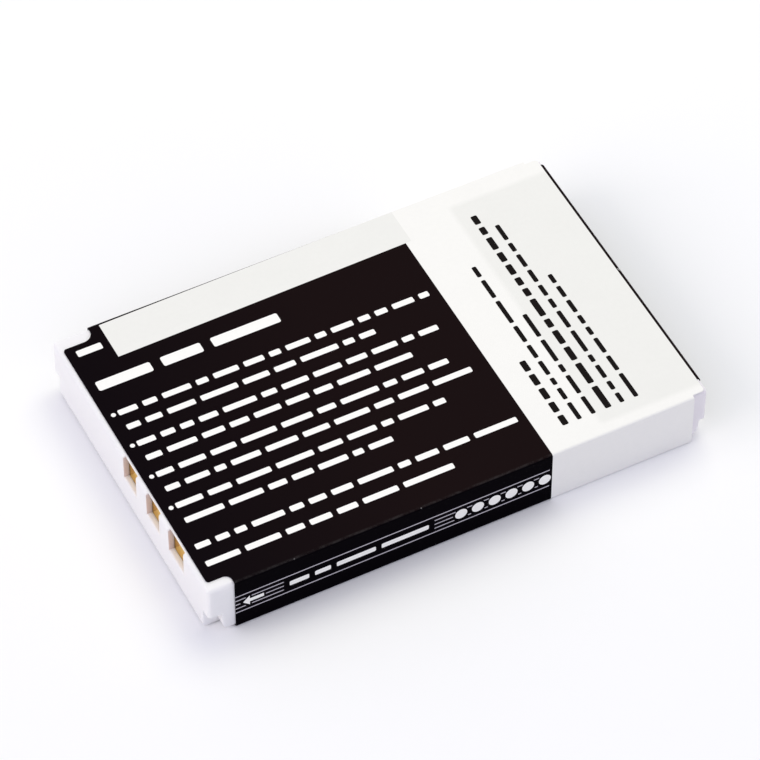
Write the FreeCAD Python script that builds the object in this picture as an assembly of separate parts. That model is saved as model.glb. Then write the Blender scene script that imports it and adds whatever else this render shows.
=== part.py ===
import FreeCAD, Part
import math
import os

from FreeCAD import Vector

# A flat rechargeable pack: a sealed cell with a moulded cap at each end, wrapped in one folded film.
# X runs along the pack with the contact end at -X, Z is up, and the origin is the middle of the underside.
# All sizes are in millimetres.

# Cell: a drawn can whose lid faces the contact end
CELL_LENGTH = 46.0
CELL_WIDTH = 34.12
CELL_THICK = 6.36
CAN_BASE_R = 0.25

# Film: one sheet round the cell and the caps, with a flap that folds down the tail
FILM = 0.12
FOLD_R = 0.25
FILM_SETBACK = 0.48
FILM_CORNER_R = 0.3
FILM_NOTCH_R = 0.7
FILM_BACK_NOTCH_R = 1.1
FILM_BACK_SETBACK = 1.06
FILM_FRONT_CUT = 1.13
FILM_UNDER_CUT = 1.45
FILM_BACK_CUT = 1.52
TAIL_PANEL_INSET = 0.02
TAIL_PANEL_R = 0.35
TAIL_FOLD_R = 0.45
TAIL_FLAP_FRONT = 1.62
TAIL_FLAP_BACK = 0.8
TAIL_FLAP_LIFT = 0.8

# Contact cap: a tray for the board, closed by the end wall
CAP_DEPTH = 4.15
CAP_END_WALL = 0.62
CAP_SIDE_WALL = 1.88
CAP_ROOF = 0.45
CAP_EDGE_R = 0.4
CAP_END_R = 0.4
TRAY_R = 0.3

# Stepped lower corners of the caps, each beside a leg with a rounded foot
STEP_LENGTH = 1.45
STEP_DEPTH = 1.25
STEP_HEIGHT = 2.5
STEP_R = 0.2
LEG_LENGTH = 1.28
LEG_R = 0.95

# Contact windows: open to the end face with a rounded mouth, under a thin lip that stands behind it
WINDOW_INSET = 6.85
WINDOW_PITCH = 5.0
WINDOW_WIDTH = 2.82
WINDOW_WIDTH_WIDE = 3.25
WINDOW_SILL = 3.26
MOUTH_R = 0.2
MOUTH_SIDE_R = 0.08
WINDOW_LIP = 0.28
LIP_SHOW = 0.15

# Tail cap: a plate with a narrowed nose
TAIL_DEPTH = 2.63
NOSE_LENGTH = 1.65
NOSE_INSET = 0.3
NOSE_STEP_LENGTH = 0.75
NOSE_STEP_HEIGHT = 2.3
NOSE_STEP_DEPTH = 1.15
NOSE_LEG_R = 1.85
TAPE_THICK = 0.2
TAPE_MARGIN = 2.6
TAPE_EDGE = 1.1

# Contacts and board
CONTACT_THICK = 0.3
CONTACT_LAP = 0.4
CONTACT_R = 0.3
BOARD_THICK = 0.8
BOARD_GAP = 0.15
BOARD_R = 0.5
CATCH_R = 0.3

# Fittings on the lid
GASKET_LENGTH = 5.0
GASKET_WIDTH = 3.0
GASKET_THICK = 0.4
TERMINAL_LENGTH = 3.6
TERMINAL_WIDTH = 2.2
TERMINAL_THICK = 0.35
TERMINAL_R = 0.4
SHANK_R = 0.7
PLUG_Y = 7.5
PLUG_R = 0.8
PLUG_DEPTH = 0.3
PLUG_CROWN = 0.12
SHEET_THICK = 0.15
SHEET_MARGIN = 0.7
SHEET_CLEAR = 0.3
SHEET_R = 0.6

# Bent strips from the cell to the board
TAB_THICK = 0.15
TAB_WIDTH = 3.0
TAB_BEND_R = 0.2
TAB_FOOT = 2.4
NEGATIVE_TAB_RUN = 1.2
POSITIVE_TAB_Y = -8.6
POSITIVE_TAB_RUN = 3.2

# Six-legged chips on the board
CHIP_LENGTH = 2.9
CHIP_WIDTH = 1.6
CHIP_HEIGHT = 1.05
CHIP_LIFT = 0.1
LEG_SPAN = 2.8
LEG_PITCH = 0.95
LEG_WIDTH = 0.4
LEG_THICK = 0.15
LEG_FOOT = 0.35
CHIP_GAP = 1.0

# Small two-ended parts on the board
SMALL_LENGTH = 1.6
SMALL_WIDTH = 0.8
RESISTOR_HEIGHT = 0.45
CAPACITOR_HEIGHT = 0.8
BAND_LENGTH = 0.3
BAND_PROUD = 0.03
SMALL_EDGE = 0.9
SMALL_SPACING = 1.8

# Overrun of every cutting tool
OVERRUN = 1.0

# Places worked out from the sizes above
LENGTH = CAP_DEPTH + CELL_LENGTH + TAIL_DEPTH + FILM
X_FACE = -LENGTH / 2
X_WALL = X_FACE + CAP_END_WALL
X_BOARD = X_WALL + CONTACT_THICK
X_PARTS = X_BOARD + BOARD_THICK
X_LID = X_FACE + CAP_DEPTH
X_BASE = X_LID + CELL_LENGTH
X_TAIL = X_BASE + TAIL_DEPTH
X_END = X_TAIL + FILM
X_NOSE = X_TAIL - NOSE_LENGTH
X_FILM = X_FACE + FILM_SETBACK
X_LIP = X_FILM - LIP_SHOW
X_FRONT_FLAP = X_FACE + STEP_LENGTH + LEG_LENGTH
X_BACK_FLAP = X_FRONT_FLAP + FILM_BACK_SETBACK
X_HEAD = X_LID - GASKET_THICK - TERMINAL_THICK
Y_SIDE = CELL_WIDTH / 2
Y_FILM = Y_SIDE + FILM
Y_STEP = Y_SIDE - STEP_DEPTH
Y_TRAY = Y_SIDE - CAP_SIDE_WALL
Y_BOARD = Y_TRAY - BOARD_GAP
Y_NOSE = Y_SIDE - NOSE_INSET
Y_PANEL = Y_NOSE - TAIL_PANEL_INSET
Y_SMALL = Y_BOARD - SMALL_EDGE - SMALL_LENGTH / 2
Z_LOW = FILM
Z_HIGH = Z_LOW + CELL_THICK
Z_TOP = Z_HIGH + FILM
Z_MID = (Z_LOW + Z_HIGH) / 2
Z_TRAY_LOW = Z_LOW + CAP_ROOF
Z_TRAY_HIGH = Z_HIGH - CAP_ROOF
Z_SILL = Z_LOW + WINDOW_SILL
FOLD_IN_R = FOLD_R - FILM
TAIL_FOLD_IN_R = TAIL_FOLD_R - FILM
WINDOW_WIDTHS = (WINDOW_WIDTH, WINDOW_WIDTH, WINDOW_WIDTH_WIDE)
Y_WINDOW = WINDOW_INSET - Y_SIDE
WINDOWS = [(Y_WINDOW + WINDOW_PITCH * (2 - i), width) for i, width in enumerate(WINDOW_WIDTHS)]


def on_end(x):
    """Puts flat points (y, z) in the plane across the pack at x."""
    return lambda p: Vector(x, p.x, p.y)


def on_side(y):
    """Puts flat points (x, z) in the upright plane along the pack at y."""
    return lambda p: Vector(p.x, y, p.y)


def on_plan(z):
    """Puts flat points (x, y) in the level plane at z."""
    return lambda p: Vector(p.x, p.y, z)


def rounded_face(corners, place):
    """Face of a polygon with a radius at each corner (u, v, radius), put in space by place."""
    flat = [Vector(u, v, 0) for u, v, _ in corners]
    runs = []
    for i, (_, _, radius) in enumerate(corners):
        back = (flat[i - 1] - flat[i]).normalize()
        ahead = (flat[(i + 1) % len(flat)] - flat[i]).normalize()
        half = back.getAngle(ahead) / 2
        reach = radius / math.tan(half)
        crown = (back + ahead).normalize() * (radius / math.sin(half) - radius)
        runs.append((flat[i] + back * reach, flat[i] + crown, flat[i] + ahead * reach, radius))
    edges = []
    for i, (start, crown, end, radius) in enumerate(runs):
        if radius > 0:
            edges.append(Part.Arc(place(start), place(crown), place(end)).toShape())
        following = runs[(i + 1) % len(runs)][0]
        if not end.isEqual(following, 1e-6):
            edges.append(Part.makeLine(place(end), place(following)))
    return Part.Face(Part.Wire(Part.__sortEdges__(edges)))


def bar(x0, x1, half_width, z0, z1, radius):
    """Bar along X between x0 and x1, with its four long edges rounded."""
    return end_plate(x0, x1, -half_width, half_width, z0, z1, radius)


def end_plate(x0, x1, y0, y1, z0, z1, radius):
    """Plate across the pack, from x0 to x1, with rounded corners."""
    corners = [(y0, z0, radius), (y1, z0, radius), (y1, z1, radius), (y0, z1, radius)]
    return rounded_face(corners, on_end(x0)).extrude(Vector(x1 - x0, 0, 0))


def block(x0, x1, y0, y1, z0, z1):
    """Plain block between two opposite corners."""
    return Part.makeBox(x1 - x0, y1 - y0, z1 - z0, Vector(x0, y0, z0))


def round_end(solid, x, radius):
    """Rounds all edges that lie in the end plane at x."""
    rim = [e for e in solid.Edges if abs(e.BoundBox.XMin - x) + abs(e.BoundBox.XMax - x) < 1e-6]
    return solid.makeFillet(radius, rim)


def corner_step(x_end, inward, length, height, foot, y_wall, side):
    """Cutter for a stepped lower corner, which leaves a leg with a foot of that radius behind it."""
    outer = x_end - inward * OVERRUN
    leg = x_end + inward * length
    heel = leg + inward * (foot + OVERRUN)
    profile = [
        (outer, Z_LOW + height, 0),
        (leg, Z_LOW + height, STEP_R),
        (leg, Z_LOW, foot),
        (heel, Z_LOW, 0),
        (heel, Z_LOW - OVERRUN, 0),
        (outer, Z_LOW - OVERRUN, 0),
    ]
    depth = Y_SIDE + OVERRUN - y_wall
    return rounded_face(profile, on_side(side * y_wall)).extrude(Vector(0, side * depth, 0))


def window_cutter(y, width):
    """Cutter for a contact window: a pocket under the lip, flared at its mouth and open through the rim."""
    outer = X_FACE - OVERRUN
    half = width / 2
    reach = half + OVERRUN
    sides = [
        (X_WALL, y - half, 0),
        (X_FACE, y - half, MOUTH_SIDE_R),
        (X_FACE, y - reach, 0),
        (outer, y - reach, 0),
        (outer, y + reach, 0),
        (X_FACE, y + reach, 0),
        (X_FACE, y + half, MOUTH_SIDE_R),
        (X_WALL, y + half, 0),
    ]
    height = [
        (X_WALL, Z_SILL, 0),
        (X_FACE, Z_SILL, MOUTH_R),
        (X_FACE, Z_SILL - OVERRUN, 0),
        (outer, Z_SILL - OVERRUN, 0),
        (outer, Z_HIGH + OVERRUN, 0),
        (X_LIP, Z_HIGH + OVERRUN, 0),
        (X_LIP, Z_HIGH - WINDOW_LIP, 0),
        (X_WALL, Z_HIGH - WINDOW_LIP, 0),
    ]
    across = rounded_face(sides, on_plan(0)).extrude(Vector(0, 0, Z_TOP + OVERRUN))
    upright = rounded_face(height, on_side(y - reach)).extrude(Vector(0, 2 * reach, 0))
    return across.common(upright)


def contact_cap():
    """Moulded cap of the contact end, with the board's tray behind its windows."""
    cap = round_end(bar(X_FACE, X_LID, Y_SIDE, Z_LOW, Z_HIGH, CAP_EDGE_R), X_FACE, CAP_END_R)
    cap = cap.cut(bar(X_WALL, X_LID, Y_TRAY, Z_TRAY_LOW, Z_TRAY_HIGH, TRAY_R))
    for y, width in WINDOWS:
        cap = cap.cut(window_cutter(y, width))
    for side in (-1, 1):
        cap = cap.cut(corner_step(X_FACE, 1, STEP_LENGTH, STEP_HEIGHT, LEG_R, Y_STEP, side))
        cap = cap.fuse(board_catch(side))
    return cap.removeSplitter()


def board_catch(side):
    """Half-round rib on the tray's side wall, which snaps behind the board."""
    foot = Vector(X_PARTS + CATCH_R, side * Y_TRAY, Z_TRAY_LOW + TRAY_R)
    rib = Part.makeCylinder(CATCH_R, Z_TRAY_HIGH - Z_TRAY_LOW - 2 * TRAY_R, foot, Vector(0, 0, 1))
    return rib


def tail_cap():
    """Moulded plate of the tail end, with a narrowed nose, stepped corners and a bed for the tape."""
    nose = round_end(bar(X_BASE, X_TAIL, Y_NOSE, Z_LOW, Z_HIGH, CAP_EDGE_R), X_TAIL, TAIL_FOLD_IN_R)
    cap = nose.fuse(bar(X_BASE, X_NOSE, Y_SIDE, Z_LOW, Z_HIGH, FOLD_IN_R))
    wall = Y_NOSE - NOSE_STEP_DEPTH
    for side in (-1, 1):
        cap = cap.cut(corner_step(X_TAIL, -1, NOSE_STEP_LENGTH, NOSE_STEP_HEIGHT, NOSE_LEG_R, wall, side))
    return cap.cut(tail_tape()).removeSplitter()


def tail_tape():
    """Adhesive pad that holds the tail cap to the can's base."""
    half = Y_SIDE - TAPE_MARGIN
    low = Z_LOW + TAPE_EDGE
    high = Z_HIGH - TAPE_EDGE
    return block(X_BASE, X_BASE + TAPE_THICK, -half, half, low, high)


def film_plan(front_cut, z0, z1):
    """Film's outline seen from above, between two levels, with its corners cut at the contact end."""
    y_front = front_cut - Y_SIDE
    y_back = Y_SIDE - FILM_BACK_CUT
    y_far = Y_FILM + OVERRUN
    plan = [
        (X_FILM, y_front, FILM_CORNER_R),
        (X_FRONT_FLAP, y_front, FILM_NOTCH_R),
        (X_FRONT_FLAP, -y_far, 0),
        (X_NOSE, -y_far, 0),
        (X_NOSE, y_far, 0),
        (X_BACK_FLAP, y_far, 0),
        (X_BACK_FLAP, y_back, FILM_BACK_NOTCH_R),
        (X_FILM, y_back, FILM_CORNER_R),
    ]
    return rounded_face(plan, on_plan(z0)).extrude(Vector(0, 0, z1 - z0))


def wrap_label():
    """Film sleeve with cut corners at the contact end, and a flap folded down the tail."""
    sleeve = bar(X_FILM, X_NOSE, Y_FILM, 0, Z_TOP, FOLD_R)
    sleeve = sleeve.cut(bar(X_FILM - OVERRUN, X_NOSE + OVERRUN, Y_SIDE, Z_LOW, Z_HIGH, FOLD_IN_R))
    upper = sleeve.common(film_plan(FILM_FRONT_CUT, Z_MID, Z_TOP + OVERRUN))
    lower = sleeve.common(film_plan(FILM_UNDER_CUT, -OVERRUN, Z_MID))
    return upper.fuse([lower, tail_panel(), tail_flap()]).removeSplitter()


def tail_panel():
    """Film on top of the tail cap's nose."""
    start = X_NOSE - OVERRUN
    fold = X_END - TAIL_FOLD_R
    plan = [
        (start, -Y_PANEL, 0),
        (fold, -Y_PANEL, TAIL_PANEL_R),
        (fold, Y_PANEL, TAIL_PANEL_R),
        (start, Y_PANEL, 0),
    ]
    return rounded_face(plan, on_plan(Z_HIGH)).extrude(Vector(0, 0, FILM))


def tail_flap():
    """Film folded from the top down the tail's end face."""
    low = Z_LOW + TAIL_FLAP_LIFT
    y_front = TAIL_FLAP_FRONT - Y_PANEL
    y_back = Y_PANEL - TAIL_FLAP_BACK
    profile = [
        (X_NOSE, Z_HIGH, 0),
        (X_TAIL, Z_HIGH, TAIL_FOLD_IN_R),
        (X_TAIL, low, 0),
        (X_END, low, 0),
        (X_END, Z_TOP, TAIL_FOLD_R),
        (X_NOSE, Z_TOP, 0),
    ]
    return rounded_face(profile, on_side(y_front)).extrude(Vector(0, y_back - y_front, 0))


def cell():
    """Sealed can with its welded lid, one solid, with the bed of the filling plug."""
    can = round_end(bar(X_LID, X_BASE, Y_SIDE, Z_LOW, Z_HIGH, FOLD_IN_R), X_BASE, CAN_BASE_R)
    bed = Part.makeCylinder(PLUG_R, PLUG_DEPTH, Vector(X_LID, PLUG_Y, Z_MID), Vector(1, 0, 0))
    return can.cut(bed)


def fill_plug():
    """Plug pressed into the lid, with a shallow turned crown."""
    crown = X_LID - PLUG_CROWN
    outline = [
        Part.makeLine(Vector(crown, 0, 0), Vector(X_LID + PLUG_DEPTH, 0, 0)),
        Part.makeLine(Vector(X_LID + PLUG_DEPTH, 0, 0), Vector(X_LID + PLUG_DEPTH, PLUG_R, 0)),
        Part.makeLine(Vector(X_LID + PLUG_DEPTH, PLUG_R, 0), Vector(X_LID, PLUG_R, 0)),
        crown_arc(crown).toShape(),
    ]
    turned = Part.Face(Part.Wire(outline)).revolve(Vector(0, 0, 0), Vector(1, 0, 0), 360)
    turned.translate(Vector(0, PLUG_Y, Z_MID))
    return turned


def crown_arc(crown):
    """Arc from the plug's rim to the middle of its crown."""
    radius = (PLUG_R**2 + PLUG_CROWN**2) / (2 * PLUG_CROWN)
    turn = math.asin(PLUG_R / radius) / 2
    middle = Vector(crown + radius * (1 - math.cos(turn)), radius * math.sin(turn), 0)
    return Part.Arc(Vector(X_LID, PLUG_R, 0), middle, Vector(crown, 0, 0))


def terminal_gasket():
    """Long round-ended gasket between the terminal and the lid."""
    half_length = GASKET_LENGTH / 2
    half_width = GASKET_WIDTH / 2
    low = Z_MID - half_width
    high = Z_MID + half_width
    plate = end_plate(X_LID - GASKET_THICK, X_LID, -half_length, half_length, low, high, half_width)
    return plate.cut(terminal_shank())


def terminal_shank():
    """Round shank of the terminal, through the gasket to the lid."""
    return Part.makeCylinder(SHANK_R, GASKET_THICK, Vector(X_LID - GASKET_THICK, 0, Z_MID), Vector(1, 0, 0))


def negative_terminal():
    """Riveted terminal: a head on the gasket, with its shank through it."""
    half_length = TERMINAL_LENGTH / 2
    low = Z_MID - TERMINAL_WIDTH / 2
    high = Z_MID + TERMINAL_WIDTH / 2
    head = end_plate(X_HEAD, X_LID - GASKET_THICK, -half_length, half_length, low, high, TERMINAL_R)
    return head.fuse(terminal_shank())


def lid_insulator():
    """Fibre sheet on the lid, open at the gasket, the plug and the positive tab."""
    x = X_LID - SHEET_THICK
    half = Y_TRAY - SHEET_MARGIN
    sheet = end_plate(x, X_LID, -half, half, Z_TRAY_LOW + SHEET_MARGIN, Z_TRAY_HIGH - SHEET_MARGIN, SHEET_R)
    opening = GASKET_WIDTH / 2 + SHEET_CLEAR
    reach = GASKET_LENGTH / 2 + SHEET_CLEAR
    sheet = sheet.cut(end_plate(x, X_LID, -reach, reach, Z_MID - opening, Z_MID + opening, opening))
    hole = Part.makeCylinder(PLUG_R + SHEET_CLEAR, SHEET_THICK, Vector(x, PLUG_Y, Z_MID), Vector(1, 0, 0))
    tab = TAB_WIDTH / 2 + SHEET_CLEAR
    start = POSITIVE_TAB_Y - POSITIVE_TAB_RUN - SHEET_CLEAR
    end = POSITIVE_TAB_Y + SHEET_CLEAR
    return sheet.cut([hole, end_plate(x, X_LID, start, end, Z_MID - tab, Z_MID + tab, SHEET_CLEAR)])


def bent_tab(x_foot, y_start, y_bend):
    """Strip that lies on the cell at x_foot, bends across to the board and ends in a foot soldered to it."""
    outside = TAB_BEND_R + TAB_THICK
    profile = [
        (x_foot, y_start, 0),
        (x_foot, y_bend, outside),
        (X_PARTS + TAB_THICK, y_bend, TAB_BEND_R),
        (X_PARTS + TAB_THICK, y_bend + TAB_FOOT, 0),
        (X_PARTS, y_bend + TAB_FOOT, 0),
        (X_PARTS, y_bend - TAB_THICK, outside),
        (x_foot - TAB_THICK, y_bend - TAB_THICK, TAB_BEND_R),
        (x_foot - TAB_THICK, y_start, 0),
    ]
    return rounded_face(profile, on_plan(Z_MID - TAB_WIDTH / 2)).extrude(Vector(0, 0, TAB_WIDTH))


def negative_tab():
    """Strip from the terminal's head to the board."""
    return bent_tab(X_HEAD, -TERMINAL_LENGTH / 2, TERMINAL_LENGTH / 2 + NEGATIVE_TAB_RUN)


def positive_tab():
    """Strip from the lid to the board."""
    return bent_tab(X_LID, POSITIVE_TAB_Y - POSITIVE_TAB_RUN, POSITIVE_TAB_Y)


def circuit_board():
    """Board that fills the tray behind the contacts."""
    low = Z_TRAY_LOW + BOARD_GAP
    high = Z_TRAY_HIGH - BOARD_GAP
    return end_plate(X_BOARD, X_PARTS, -Y_BOARD, Y_BOARD, low, high, BOARD_R)


def contact_plate(index):
    """Gilt plate on the board, which lies against the end wall behind its window."""
    y, width = WINDOWS[index]
    half = width / 2 + CONTACT_LAP
    low = Z_SILL - CONTACT_LAP
    high = Z_TRAY_HIGH - BOARD_GAP
    return end_plate(X_WALL, X_BOARD, y - half, y + half, low, high, CONTACT_R)


def leaded_chip(y):
    """Moulded chip with three gull-wing legs on each long side."""
    half_length = CHIP_LENGTH / 2
    half_width = CHIP_WIDTH / 2
    top = X_PARTS + CHIP_HEIGHT
    low = Z_MID - half_width
    high = Z_MID + half_width
    body = block(X_PARTS + CHIP_LIFT, top, y - half_length, y + half_length, low, high)
    legs = [gull_wing(y + LEG_PITCH * step, side) for step in (-1, 0, 1) for side in (-1, 1)]
    return body.fuse(legs).removeSplitter()


def gull_wing(y, side):
    """One leg: out of the chip's side at half its height, and down to a foot on the board."""
    shoulder = X_PARTS + CHIP_LIFT + (CHIP_HEIGHT - CHIP_LIFT) / 2
    root = Z_MID + side * CHIP_WIDTH / 2
    tip = Z_MID + side * LEG_SPAN / 2
    shin = tip - side * LEG_FOOT
    profile = [
        (shoulder, root, 0),
        (shoulder, shin, 0),
        (X_PARTS + LEG_THICK, shin, 0),
        (X_PARTS + LEG_THICK, tip, 0),
        (X_PARTS, tip, 0),
        (X_PARTS, shin - side * LEG_THICK, 0),
        (shoulder - LEG_THICK, shin - side * LEG_THICK, 0),
        (shoulder - LEG_THICK, root, 0),
    ]
    return rounded_face(profile, on_side(y - LEG_WIDTH / 2)).extrude(Vector(0, LEG_WIDTH, 0))


def small_part(y, z, height):
    """Chip resistor or capacitor: a body between two plated ends that stand on the board."""
    half = SMALL_LENGTH / 2
    wide = SMALL_WIDTH / 2
    slim = wide - BAND_PROUD
    low = X_PARTS + BAND_PROUD
    high = X_PARTS + height - BAND_PROUD
    body = block(low, high, y - half + BAND_PROUD, y + half - BAND_PROUD, z - slim, z + slim)
    ends = [
        block(X_PARTS, X_PARTS + height, start, start + BAND_LENGTH, z - wide, z + wide)
        for start in (y - half, y + half - BAND_LENGTH)
    ]
    return body.fuse(ends).removeSplitter()


def board_parts():
    """Parts on the inner face of the board, with their node names."""
    above = Z_MID + SMALL_SPACING / 2
    below = Z_MID - SMALL_SPACING / 2
    negative_foot = TERMINAL_LENGTH / 2 + NEGATIVE_TAB_RUN + TAB_FOOT
    resistor_end = SMALL_LENGTH / 2 - Y_SMALL
    tab_side = POSITIVE_TAB_Y - TAB_THICK
    chip_y = -TERMINAL_LENGTH / 2 - CHIP_LENGTH / 2
    return {
        "protection_chip": leaded_chip(chip_y),
        "switch_transistor": leaded_chip(negative_foot + CHIP_GAP + CHIP_LENGTH / 2),
        "resistor_1": small_part(-Y_SMALL, above, RESISTOR_HEIGHT),
        "resistor_2": small_part(-Y_SMALL, below, RESISTOR_HEIGHT),
        "capacitor_1": small_part(Y_SMALL, above, CAPACITOR_HEIGHT),
        "capacitor_2": small_part(Y_SMALL, below, CAPACITOR_HEIGHT),
        "thermistor": small_part((resistor_end + tab_side) / 2, above, RESISTOR_HEIGHT),
    }


def all_nodes():
    """Every piece of the pack by its node name."""
    nodes = {
        "contact_cap": contact_cap(),
        "tail_cap": tail_cap(),
        "wrap_label": wrap_label(),
        "cell": cell(),
        "fill_plug": fill_plug(),
        "terminal_gasket": terminal_gasket(),
        "negative_terminal": negative_terminal(),
        "lid_insulator": lid_insulator(),
        "positive_tab": positive_tab(),
        "negative_tab": negative_tab(),
        "circuit_board": circuit_board(),
        "contact_positive": contact_plate(0),
        "contact_signal": contact_plate(1),
        "contact_negative": contact_plate(2),
        "tail_tape": tail_tape(),
    }
    nodes.update(board_parts())
    return nodes


os.makedirs("parts", exist_ok=True)
for node, shape in all_nodes().items():
    shape.exportStep(f"parts/{node}.step")
    state = "valid" if shape.isValid() else "broken"
    print(node, len(shape.Solids), "solid", round(shape.Volume, 3), "mm3", state)
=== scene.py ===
"""Looks of a flat rechargeable pack: printed film, moulded caps, gilt contacts, and the parts inside."""

import logging
import math
import random
from dataclasses import dataclass, field
from enum import Enum
from typing import Iterator, Sequence, Union

import bmesh
import bpy
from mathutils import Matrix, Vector


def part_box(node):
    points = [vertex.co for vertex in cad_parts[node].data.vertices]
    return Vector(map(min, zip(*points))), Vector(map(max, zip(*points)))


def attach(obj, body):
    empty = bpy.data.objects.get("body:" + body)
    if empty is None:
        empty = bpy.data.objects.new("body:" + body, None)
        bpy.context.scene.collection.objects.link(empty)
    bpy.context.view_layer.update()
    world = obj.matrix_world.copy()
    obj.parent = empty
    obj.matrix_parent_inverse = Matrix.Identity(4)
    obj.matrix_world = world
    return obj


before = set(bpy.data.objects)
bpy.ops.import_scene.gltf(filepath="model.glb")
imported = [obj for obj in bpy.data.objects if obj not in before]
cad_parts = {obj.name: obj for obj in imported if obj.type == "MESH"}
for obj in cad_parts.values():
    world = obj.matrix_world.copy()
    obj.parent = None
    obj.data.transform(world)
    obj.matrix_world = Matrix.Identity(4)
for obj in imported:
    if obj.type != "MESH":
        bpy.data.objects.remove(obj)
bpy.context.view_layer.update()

LOG = logging.getLogger("pack")
MM = 0.001
BODY = "root"

# An open limit, which no place on the pack and no cloud goes beyond, and the usual soft edge of a mask.
FAR = 1.0
SOFT = 0.02 * MM
HALF_CLOUD = 0.5

# A Mix node's inputs for the share and the two colours, and its output for the mixed colour.
MIX_INPUTS = (0, 6, 7)
MIX_RESULT = 2

Colour = tuple[float, float, float]
Point = tuple[float, float]
Span = tuple[float, float]
Outline = list[Point]
Material = bpy.types.Material
Node = bpy.types.Node
Socket = bpy.types.NodeSocket
Tree = bpy.types.NodeTree
Link = Union[Socket, float, Sequence[float]]

WHITE: Colour = (1.0, 1.0, 1.0)


class Axis(Enum):
    """A direction of the pack's frame, by its place in a vector."""

    X = 0
    Y = 1
    Z = 2


class Graph:
    """A node tree in the making, with short calls for the nodes that the finishes need."""

    def __init__(self, tree: Tree) -> None:
        """Keeps the tree that the nodes go into."""
        self.tree = tree

    def feed(self, node: Node, inputs: dict[Union[str, int], Link]) -> None:
        """Links or sets the inputs of a node.

        Args:
            node: node that is fed.
            inputs: sockets or plain values, by the name or number of the input.
        """
        for key, value in inputs.items():
            if isinstance(value, Socket):
                self.tree.links.new(value, node.inputs[key])
            else:
                node.inputs[key].default_value = value

    def add(self, kind: str, inputs: dict[Union[str, int], Link], **settings: object) -> Node:
        """Adds one node.

        Args:
            kind: Blender's name for the node type.
            inputs: sockets or plain values, by the name or number of the input.
            **settings: properties of the node itself.

        Returns:
            The new node.
        """
        node = self.tree.nodes.new(kind)
        for name, value in settings.items():
            setattr(node, name, value)
        self.feed(node, inputs)
        return node

    def math(self, operation: str, first: Link, second: Link = 0.0, clamp: bool = False) -> Socket:
        """Adds a Math node.

        Args:
            operation: Blender's name for the sum.
            first: first value.
            second: second value.
            clamp: keeps the result between 0 and 1.

        Returns:
            The socket with the result.
        """
        inputs = {0: first, 1: second}
        return self.add("ShaderNodeMath", inputs, operation=operation, use_clamp=clamp).outputs[0]

    def mix(self, share: Link, first: Link, second: Link, blend: str = "MIX") -> Socket:
        """Mixes two colours.

        Args:
            share: how much of the second colour shows.
            first: colour where the share is 0.
            second: colour where the share is 1.
            blend: Blender's name for the way of mixing.

        Returns:
            The socket with the mixed colour.
        """
        colours = (value if isinstance(value, Socket) else (*value, 1.0) for value in (first, second))
        inputs = dict(zip(MIX_INPUTS, (share, *colours)))
        return self.add("ShaderNodeMix", inputs, data_type="RGBA", blend_type=blend).outputs[MIX_RESULT]

    def place(self) -> Socket:
        """Gives the point's place in the pack's frame, in metres."""
        return self.add("ShaderNodeTexCoord", {}).outputs["Object"]

    def along(self) -> tuple[Socket, ...]:
        """Gives the point's place as three sockets, one for each axis."""
        return tuple(self.add("ShaderNodeSeparateXYZ", {0: self.place()}).outputs)

    def noise(self, vector: Link, scale: Link, detail: float) -> Socket:
        """Adds a noise from 0 to 1, with a number of finer layers."""
        inputs = {"Vector": vector, "Scale": scale, "Detail": detail}
        return self.add("ShaderNodeTexNoise", inputs).outputs[0]

    def group(self, tree: Tree, inputs: dict[str, Link]) -> Node:
        """Places a shared group with its own values."""
        return self.add("ShaderNodeGroup", inputs, node_tree=tree)


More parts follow.
